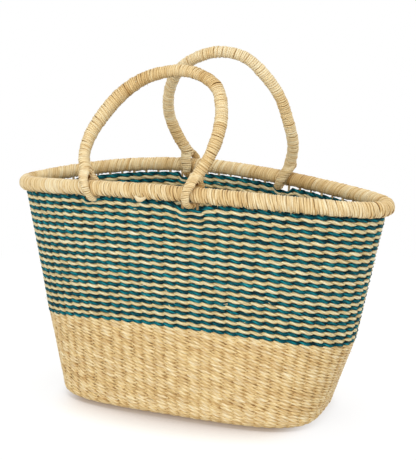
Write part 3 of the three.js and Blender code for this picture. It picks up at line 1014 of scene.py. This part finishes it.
# The tube under a winding is toned dark: painted shade for the gaps between turns.
gap_shade_tone = 0.12


def turn_widths(length, pitch, vary, rng):
    """Edges of the turns along a length, with hand-made differences between them."""
    widths = rng.uniform(1 - vary, 1 + vary, int(round(length / pitch)))
    edges = np.concatenate([[0], np.cumsum(widths)])
    return edges / edges[-1] * length


def patch_tones(length, patch, rng, middle, spread):
    """Tone along a winding: each straw covers a few centimetres, and one in five is darker."""
    edges, tones = [0.0], []
    while edges[-1] < length:
        edges.append(edges[-1] + rng.uniform(0.3, 1.6) * patch)
        tones.append(rng.normal(middle, spread) - (0.16 if rng.random() < 0.22 else 0))
    return np.array(edges), np.array(tones)


def gap_shade_tube(bundle, path, outward, half):
    """A tube toned dark as painted shade, under the winding and seen only between turns."""
    rings = sweep(path, outward, half[:, 0], half[:, 1], 0.0, bundle.sides, 0.0, False)
    bundle.add(rings, False, np.full(len(path), gap_shade_tone))


print("a wound straw has", wrap_sides, "sides")

# %% [markdown]
# The helix goes round its path at a half size that may change along it and differ across and
# upward, so one function winds a round rim, a lumpy handle and a flat loop. A turn's straw is a
# little wider than its pitch, so that turns overlap, and its edges get painted shade, where the
# grooves between turns lie.

# %% Winding
half_width_share = 0.60
groove_shade_depth = 0.85


def wind(bundle, path, across, upward, half, pitch, thick, rng, lean=0.0, lean_turn=0.0,
         steps=18, tone=0.6, spread=0.16, patch=32 * MM, vary=0.36, mottle=0.10, swell=None):
    """Winds a flat straw round a path, and gives its middle line and the way that it faces. half
    is the outer half size across and upward at each place. lean and lean_turn say how far the
    turns lean along the path and to which side. tone, spread and mottle are the straws' tone and
    how much straws and single turns differ. swell gives extra thickness at each place."""
    shares = distances(path)
    length = shares[-1]
    edges = turn_widths(length, pitch, vary, rng)
    turn_count = len(edges) - 1
    turn_numbers = np.arange(turn_count + 1)
    count = turn_count * steps + 1
    turn_at = np.linspace(0, turn_count, count)
    straight = np.interp(turn_at, turn_numbers, edges)
    angle = 2 * np.pi * turn_at
    size = np.stack([np.interp(straight, shares, half[:, k]) for k in (0, 1)], axis=1)
    slope = lean * (1 + 0.5 * wander(count, length, 40 * MM, rng))
    slope = slope + np.interp(turn_at, turn_numbers, rng.normal(0, 0.04, turn_count + 1))
    leaning = straight + slope * size.mean(axis=1) * np.cos(angle - lean_turn)
    leaning = np.clip(leaning, 0, length)

    def at(values):
        return np.stack([np.interp(leaning, shares, column) for column in values.T], axis=1)

    side, top = unit(at(across)), unit(at(upward))
    reach = size - thick / 2
    c, s = np.cos(angle)[:, None], np.sin(angle)[:, None]
    bulge = np.append(np.repeat(rng.uniform(-0.20, 0.12, turn_count) * thick, steps), 0)[:, None]
    if swell is not None:
        bulge = bulge + swell(angle, turn_at, rng)[:, None]
    centre = at(path) + side * (reach[:, :1] + bulge) * c + top * (reach[:, 1:] + bulge) * s
    face = unit(side * c * reach[:, 1:] + top * s * reach[:, :1])
    width = np.interp(turn_at, np.arange(turn_count) + 0.5, np.diff(edges)) * half_width_share
    straw_edges, tones = patch_tones(length, patch, rng, tone, spread)
    base = tones[np.clip(np.searchsorted(straw_edges, straight) - 1, 0, len(tones) - 1)]
    each = np.append(np.repeat(rng.normal(0, mottle, turn_count), steps), 0)
    rings = sweep(centre, face, thick / 2, width, 0.0, bundle.sides, 0.0, False)
    # Painted shade on the sides of each turn, in the grooves between turns.
    groove_shade = groove_shade_depth * (1 - np.clip(np.cos(round_of(bundle.sides)), 0, 1)) ** 1.3
    bundle.add(rings, False, (base + each)[:, None] - groove_shade[None, :])
    return centre, face


def loose_ends(bundle, centre, face, places, length, rng):
    """Short ends of straw that have come loose from a winding and hang down a little."""
    for at in places:
        run = unit(centre[at + 1] - centre[at])
        run = -run if run[2] > 0 else run
        heading = run + face[at] * rng.uniform(0.1, 0.45)
        straw_end(bundle, centre[at] + face[at] * 0.7 * MM, heading, face[at],
                  rng.uniform(*length) * MM, rng.uniform(0.7, 1.3) * MM, rng.normal(0.82, 0.1),
                  0, rng)


print("a turn's straw is", 2 * half_width_share, "times as wide as the turn")

# %% [markdown]
# ## Smooth lines through a few points
#
# The handles, the loops and one loose straw follow lines that a few points give. A curve object
# would need its two control handles set by hand at each point. The line here goes through the
# points by itself, and the CAD model draws its handles with the same one, so the two agree.

# %% Smooth lines
def smooth_line(points, steps):
    """A smooth line through points, as the CAD model draws it. Each span leans on the point before
    and the point after it, and weighs them by the square roots of the distances."""
    points = np.asarray(points, float)
    first, last = 2 * points[0] - points[1], 2 * points[-1] - points[-2]
    padded = np.vstack([first, points, last])
    made = []
    for p0, p1, p2, p3 in zip(padded, padded[1:], padded[2:], padded[3:]):
        d0, d1, d2 = (np.sqrt(np.linalg.norm(b - a)) for a, b in ((p0, p1), (p1, p2), (p2, p3)))
        m1 = ((p1 - p0) / d0 - (p2 - p0) / (d0 + d1) + (p2 - p1) / d1) * d1
        m2 = ((p2 - p1) / d1 - (p3 - p1) / (d1 + d2) + (p3 - p2) / d2) * d1
        t = np.linspace(0, 1, steps, endpoint=False)[:, None]
        made.append(p1 + m1 * t + (-3 * p1 + 3 * p2 - 2 * m1 - m2) * t ** 2
                    + (2 * p1 - 2 * p2 + m1 + m2) * t ** 3)
    return np.vstack([*made, points[-1:]])


def even_line(path, step):
    """The same line with points at even distances, and these distances."""
    along = distances(path)
    at = np.linspace(0, along[-1], int(round(along[-1] / step)) + 1)
    return np.stack([np.interp(at, along, column) for column in path.T], axis=1), at


bend = smooth_line([(0, 0, 0), (1, 0, 1), (2, 0, 0)], 16)
print("a bend through three points has", len(bend), "points and a length of",
      round(distances(bend)[-1], 2))

# %% [markdown]
# ## The wound rim
#
# The rim is wound in four lengths, which meet under the loops of the handles. Along its lower edge
# the turns stand out unevenly where they dive between the stakes, so the winding swells there turn
# by turn. One pale straw has slipped out below the front of the rim, and it is laid from listed
# points.

# %% Line and swell of the rim
rim_pitch, rim_straw = 2.5 * MM, 2.2 * MM


def rim_stretch(start, stop):
    """The rim's line, outward and upward directions between two shares of its length."""
    count = max(12, int(round((stop - start) * rim_length / rim_pitch)))
    at = np.linspace(start, stop, count)
    path = read(rim_shares, rim_line, at)
    out = unit(read(rim_shares, rim_out, at))
    heading = along_of(path, False)
    up = np.cross(out, heading)
    up = unit(np.where(up[:, 2:] < 0, -up, up))
    out = np.cross(heading, up)
    return path, out, up


def rim_swell(angle, turn_at, rng):
    """Turns stand out by up to two millimetres along the rim's outer lower edge."""
    low = np.clip(np.cos(angle + 1.0), 0, 1) ** 4
    amount = rng.uniform(0, 1.9, int(turn_at[-1]) + 2) * MM
    return low * amount[np.floor(turn_at).astype(int)]


# For each point of the slipped straw: the share of the rim's length, how far out and how far up
# from the rim's line, and half its width, in mm
slipped_straw = [
    (0.7165, 6.4, -4.6, 1.5), (0.7185, 7.0, -6.8, 2.4), (0.7205, 6.9, -8.4, 2.8),
    (0.7235, 6.6, -8.6, 2.5), (0.7265, 6.6, -7.4, 2.0), (0.7295, 6.4, -5.8, 1.4),
]


def loose_straw(bundle, straw):
    share, out, up, width = np.array(straw).T
    line = read(rim_shares, rim_line, share) + read(rim_shares, rim_out, share) * out[:, None] * MM
    path = smooth_line(line + np.outer(up, [0, 0, 1]) * MM, 5)
    width = np.interp(np.linspace(0, 1, len(path)), np.linspace(0, 1, len(width)), width) * MM
    face = np.tile(read(rim_shares, rim_out, share[:1]), (len(path), 1))
    bundle.add(sweep(path, face, 0.3 * MM, width, 0.0, bundle.sides, 0.0, False), False,
               np.full(len(path), 0.92))


print("about", round(rim_length / rim_pitch), "turns go round the rim")

# %% [markdown]
# Each length of the rim has its own tone. The front has the darkest straw, and the rear is toned
# palest, partly as painted light that makes it show about as bright as the front. Loose ends hang
# only along the outer lower edge, where the winding is pulled through the wall.

# %% Rim winding
foot_stops = {name: foot_share(x, side) for name, (x, side) in zip(foot_names, feet)}
gap = 0.15 * MM / rim_length
stretches = {
    "front": (foot_stops["front_left"], foot_stops["front_right"], 0.76),
    "right": (foot_stops["front_right"], foot_stops["rear_right"] + 1, 0.78),
    # Painted light: the rear is toned palest so that it shows about as bright as the front.
    "rear": (foot_stops["rear_right"], foot_stops["rear_left"], 0.86),
    "left": (foot_stops["rear_left"], foot_stops["front_left"], 0.84),
}
for number, (name, (start, stop, pale)) in enumerate(stretches.items()):
    rng = np.random.default_rng(600 + number)
    path, out, up = rim_stretch(start + gap, stop - gap)
    half = np.full((len(path), 2), rim_radius)
    rim = Bundle(wrap_sides)
    centre, face = wind(rim, path, out, up, half, rim_pitch, rim_straw, rng, lean=0.3,
                        lean_turn=-1.57, swell=rim_swell, tone=pale, spread=0.11)
    gap_shade_tube(rim, path, out, half - 1.5 * MM)
    outer = np.sum(face[:, :2] * centre[:, :2], axis=1) > 0
    low = np.flatnonzero(outer & (face[:, 2] < -0.5) & (face[:, 2] > -0.92))
    places = rng.choice(low, int(len(path) / 20), replace=False)
    loose_ends(rim, centre, face, places, (2, 4.5), rng)
    if name == "front":
        loose_straw(rim, slipped_straw)
    rim.piece(f"rim_winding_{name}", "basket", "wrap_straw", [f"rim_wrap_{name}"], wrap_straw)

# %% [markdown]
# ## Handles
#
# Each handle is an arch of grass, wound all along, that leans in over the basket. Its line goes
# through the same points as the CAD model's: a share of half its span and of its height for each.
# Under each foot two flattened legs come out of the handle and close round the rim, so that the
# handle can swing on it. All that a handle needs stands in one table, in mm:
#
# - left and right: the middle of its two feet; along and up: the directions of its plane
# - start and lead: how far its two ends and the points above them stand out past the feet
# - extra: lumps and dents, as (share of the length, height)
# - slip: how far the outer and the inner leg of a loop have slipped sideways at each loop level
# - broad: how much wider a loop's inner leg is; pale: the straws' tone, raised on the rear as
#   painted light

# %% Handle lines
handles = {
    "front": {
        "left": (-94.30, -73.40, 252.06), "right": (26.90, -82.27, 254.98),
        "along": (0.99704, -0.07298, 0.02402), "up": (0.02084, 0.55779, 0.82972),
        "height": 145, "pale": 0.76, "start": (8, 2.5), "lead": (11, 2.5),
        "arch_share": [(-1.32, .25), (-1.32, .43), (-1.11, .66), (-.85, .82), (-.48, .94), (.05, 1),
                       (.49, .985), (.98, .87), (1.19, .69), (1.25, .5), (1.19, .3)],
        "extra": [(0, 0), (.11, 0), (.19, .9), (.27, 1.6), (.36, 1.0), (.46, .4), (.7, .2), (1, 0)],
        "slip": {"left": ((5, 0.5, -4, -8, -11), (5, 6, 3.0, -3.5, -9.5)),
                 "right": ((0, 1.5, 4, 3.5, 2.5), (0, 4, 6, 4.5, 2.5))},
        "broad": {"left": 1.3, "right": 0},
    },
    "rear": {
        "left": (-43.60, 80.96, 256.42), "right": (77.60, 76.52, 249.37),
        "along": (0.99765, -0.03660, -0.05798), "up": (0.03998, -0.37637, 0.92560),
        # Painted light: the rear handle's tone is raised so that it shows about as bright as the
        # front one.
        "height": 152.5, "pale": 0.92, "start": (0, 5), "lead": (0, 8),
        "arch_share": [(-1.14, .235), (-1.28, .435), (-1.21, .635), (-.95, .82), (-.52, .945),
                       (-.03, 1.005), (.44, .975), (.78, .85), (1.03, .695), (1.16, .505),
                       (1.23, .295)],
        "extra": [(0, 0), (.2, -.5), (.5, 0), (.8, -.3), (1, -.4)],
        "slip": {"left": ((0.5, 1.5, 3, 1, 0), (0.5, 2.5, 5, 2, 0)),
                 "right": ((-6, -4, 0.5, 5, 9), (-6, -3, 2, 6, 9))},
        "broad": {"left": 0, "right": 0},
    },
}
handle_start, lead_in = 11.6, 7


def handle_line(handle):
    left, right = np.array(handle["left"]), np.array(handle["right"])
    along, up = np.array(handle["along"]), np.array(handle["up"])
    half_span = np.linalg.norm(right - left) / 2
    (left_start, right_start), (left_lead, right_lead) = handle["start"], handle["lead"]
    lead_level = handle_start + lead_in
    places = [
        (-half_span - left_start, handle_start), (-half_span - left_lead, lead_level),
        *((u * half_span, w * handle["height"]) for u, w in handle["arch_share"]),
        (half_span + right_lead, lead_level), (half_span + right_start, handle_start),
    ]
    middle = (left + right) / 2
    return smooth_line([middle + along * u + up * w for u, w in places], 16) * MM


for name, handle in handles.items():
    print(name, "handle is", round(distances(handle_line(handle))[-1] / MM), "mm long")

# %% [markdown]
# The winding of a handle starts and ends in a rounded knuckle just above the rim. The arch lies in
# a plane, so the plane's own direction and the one square to it carry the winding round. The grass
# inside is lumpy, so the winding's size wanders a little along the way.

# %% Handle windings
handle_radius, knuckle_length = 6.8, 5 * MM
handle_pitch, handle_straw = 2.35 * MM, 2.0 * MM

for number, (name, handle) in enumerate(handles.items()):
    rng = np.random.default_rng(700 + number)
    path, at = even_line(handle_line(handle), 2 * MM)
    plane = np.tile(unit(np.cross(handle["along"], handle["up"])), (len(path), 1))
    square = np.cross(plane, along_of(path, False))
    lumps = 0.35 * MM * wander(len(path), at[-1], 30 * MM, rng)
    lumps = lumps + np.interp(at / at[-1], *np.array(handle["extra"]).T) * MM
    from_end = np.minimum(at, at[-1] - at)
    knuckle = np.sqrt(np.clip(1 - (1 - from_end / knuckle_length).clip(0, 1) ** 2, 0.2, 1))
    half = ((handle_radius * MM + lumps + 0.1 * MM) * knuckle)[:, None].repeat(2, axis=1)
    handle_bundle = Bundle(wrap_sides)
    centre, face = wind(handle_bundle, path, plane, square, half, handle_pitch, handle_straw, rng,
                        lean=0.12, lean_turn=0.6, steps=16, tone=handle["pale"], spread=0.11,
                        patch=36 * MM, vary=0.24, mottle=0.05)
    gap_shade_tube(handle_bundle, path, plane, half - 1.35 * MM)
    places = rng.choice(len(centre) - 1, 12, replace=False)
    loose_ends(handle_bundle, centre, face, places, (1.5, 3), rng)
    handle_bundle.piece(f"{name}_handle_winding", f"{name}_handle", "wrap_straw",
                        [f"{name}_handle_wrap", f"{name}_handle_core"], wrap_straw)

# %% [markdown]
# ## The loops
#
# A leg leaves the handle on each side of its foot, and both close under the rim. They are wound
# too, and grow narrower underneath. The handle pulls each loop a little to its own side. A ring
# round the rim would be simpler, but the photograph shows broad legs that taper downwards, so the
# winding's half size changes along the loop: thick is towards the rim, wide is along it.

# %% Line of a loop
loop_radius = 12.4
loop_levels = (-12.4, -4, 4, 11.6, 18.6)
shoulder = [(3.0, 20.5), (4.3, 16.8), (7.6, 12.4), (10.6, 7.0)]


def loop_line(centre, along, up, slip):
    """From inside the handle, round the rim and back up into the handle. slip is how far the loop's
    outer leg and its inner leg have slipped sideways at each of the loop levels."""
    across = np.cross(up, along)
    ring = [(loop_radius * math.cos(a), loop_radius * math.sin(a))
            for a in np.radians([10, -20, -50, -80])]
    right = shoulder + ring
    places = right + [(-v, w) for v, w in reversed(right)]
    return smooth_line([
        centre + across * v + up * w + along * np.interp(w, loop_levels, slip[0 if v < 0 else 1])
        for v, w in places
    ], 8) * MM


straight_loop = loop_line(np.zeros(3), np.array([1, 0, 0]), np.array([0, 0, 1]), np.zeros((2, 5)))
print("a loop is", round(distances(straight_loop)[-1] / MM), "mm long")

# %% Loops round the rim
loop_pitch, loop_straw = 2.2 * MM, 1.7 * MM

for number, (name, handle) in enumerate(handles.items()):
    along, up = np.array(handle["along"]), np.array(handle["up"])
    for side in ("left", "right"):
        rng = np.random.default_rng(800 + 2 * number + (side == "right"))
        line = loop_line(np.array(handle[side]), along, up, handle["slip"][side])
        path, at = even_line(line, 1.5 * MM)
        wide = np.tile(along, (len(path), 1))
        face = np.cross(wide, along_of(path, False))
        from_end = np.minimum(at, at[-1] - at)
        half_thick = np.interp(from_end / MM, [0, 10, 35], [2.8, 3.3, 3.2])
        half_wide = np.interp(from_end / MM, [0, 9, 18, 28, 40], [6.8, 6.8, 6.0, 4.9, 4.4])
        inner_leg = np.interp(at / MM, [0, 6, 14, 20, 27], [0, 0.3, 1, 0.8, 0])
        half_wide = half_wide + handle["broad"][side] * inner_leg
        half = np.stack([half_thick, half_wide], axis=1) * MM
        loop = Bundle(wrap_sides)
        wind(loop, path, face, wide, half, loop_pitch, loop_straw, rng, lean=0.06, lean_turn=1.57,
             steps=16, tone=0.8, spread=0.08, patch=30 * MM, vary=0.3, mottle=0.06)
        gap_shade_tube(loop, path, face, half - 1.15 * MM)
        loop.piece(f"{name}_{side}_loop_winding", f"{name}_handle", "wrap_straw",
                   [f"{name}_handle_{side}_loop"], wrap_straw)
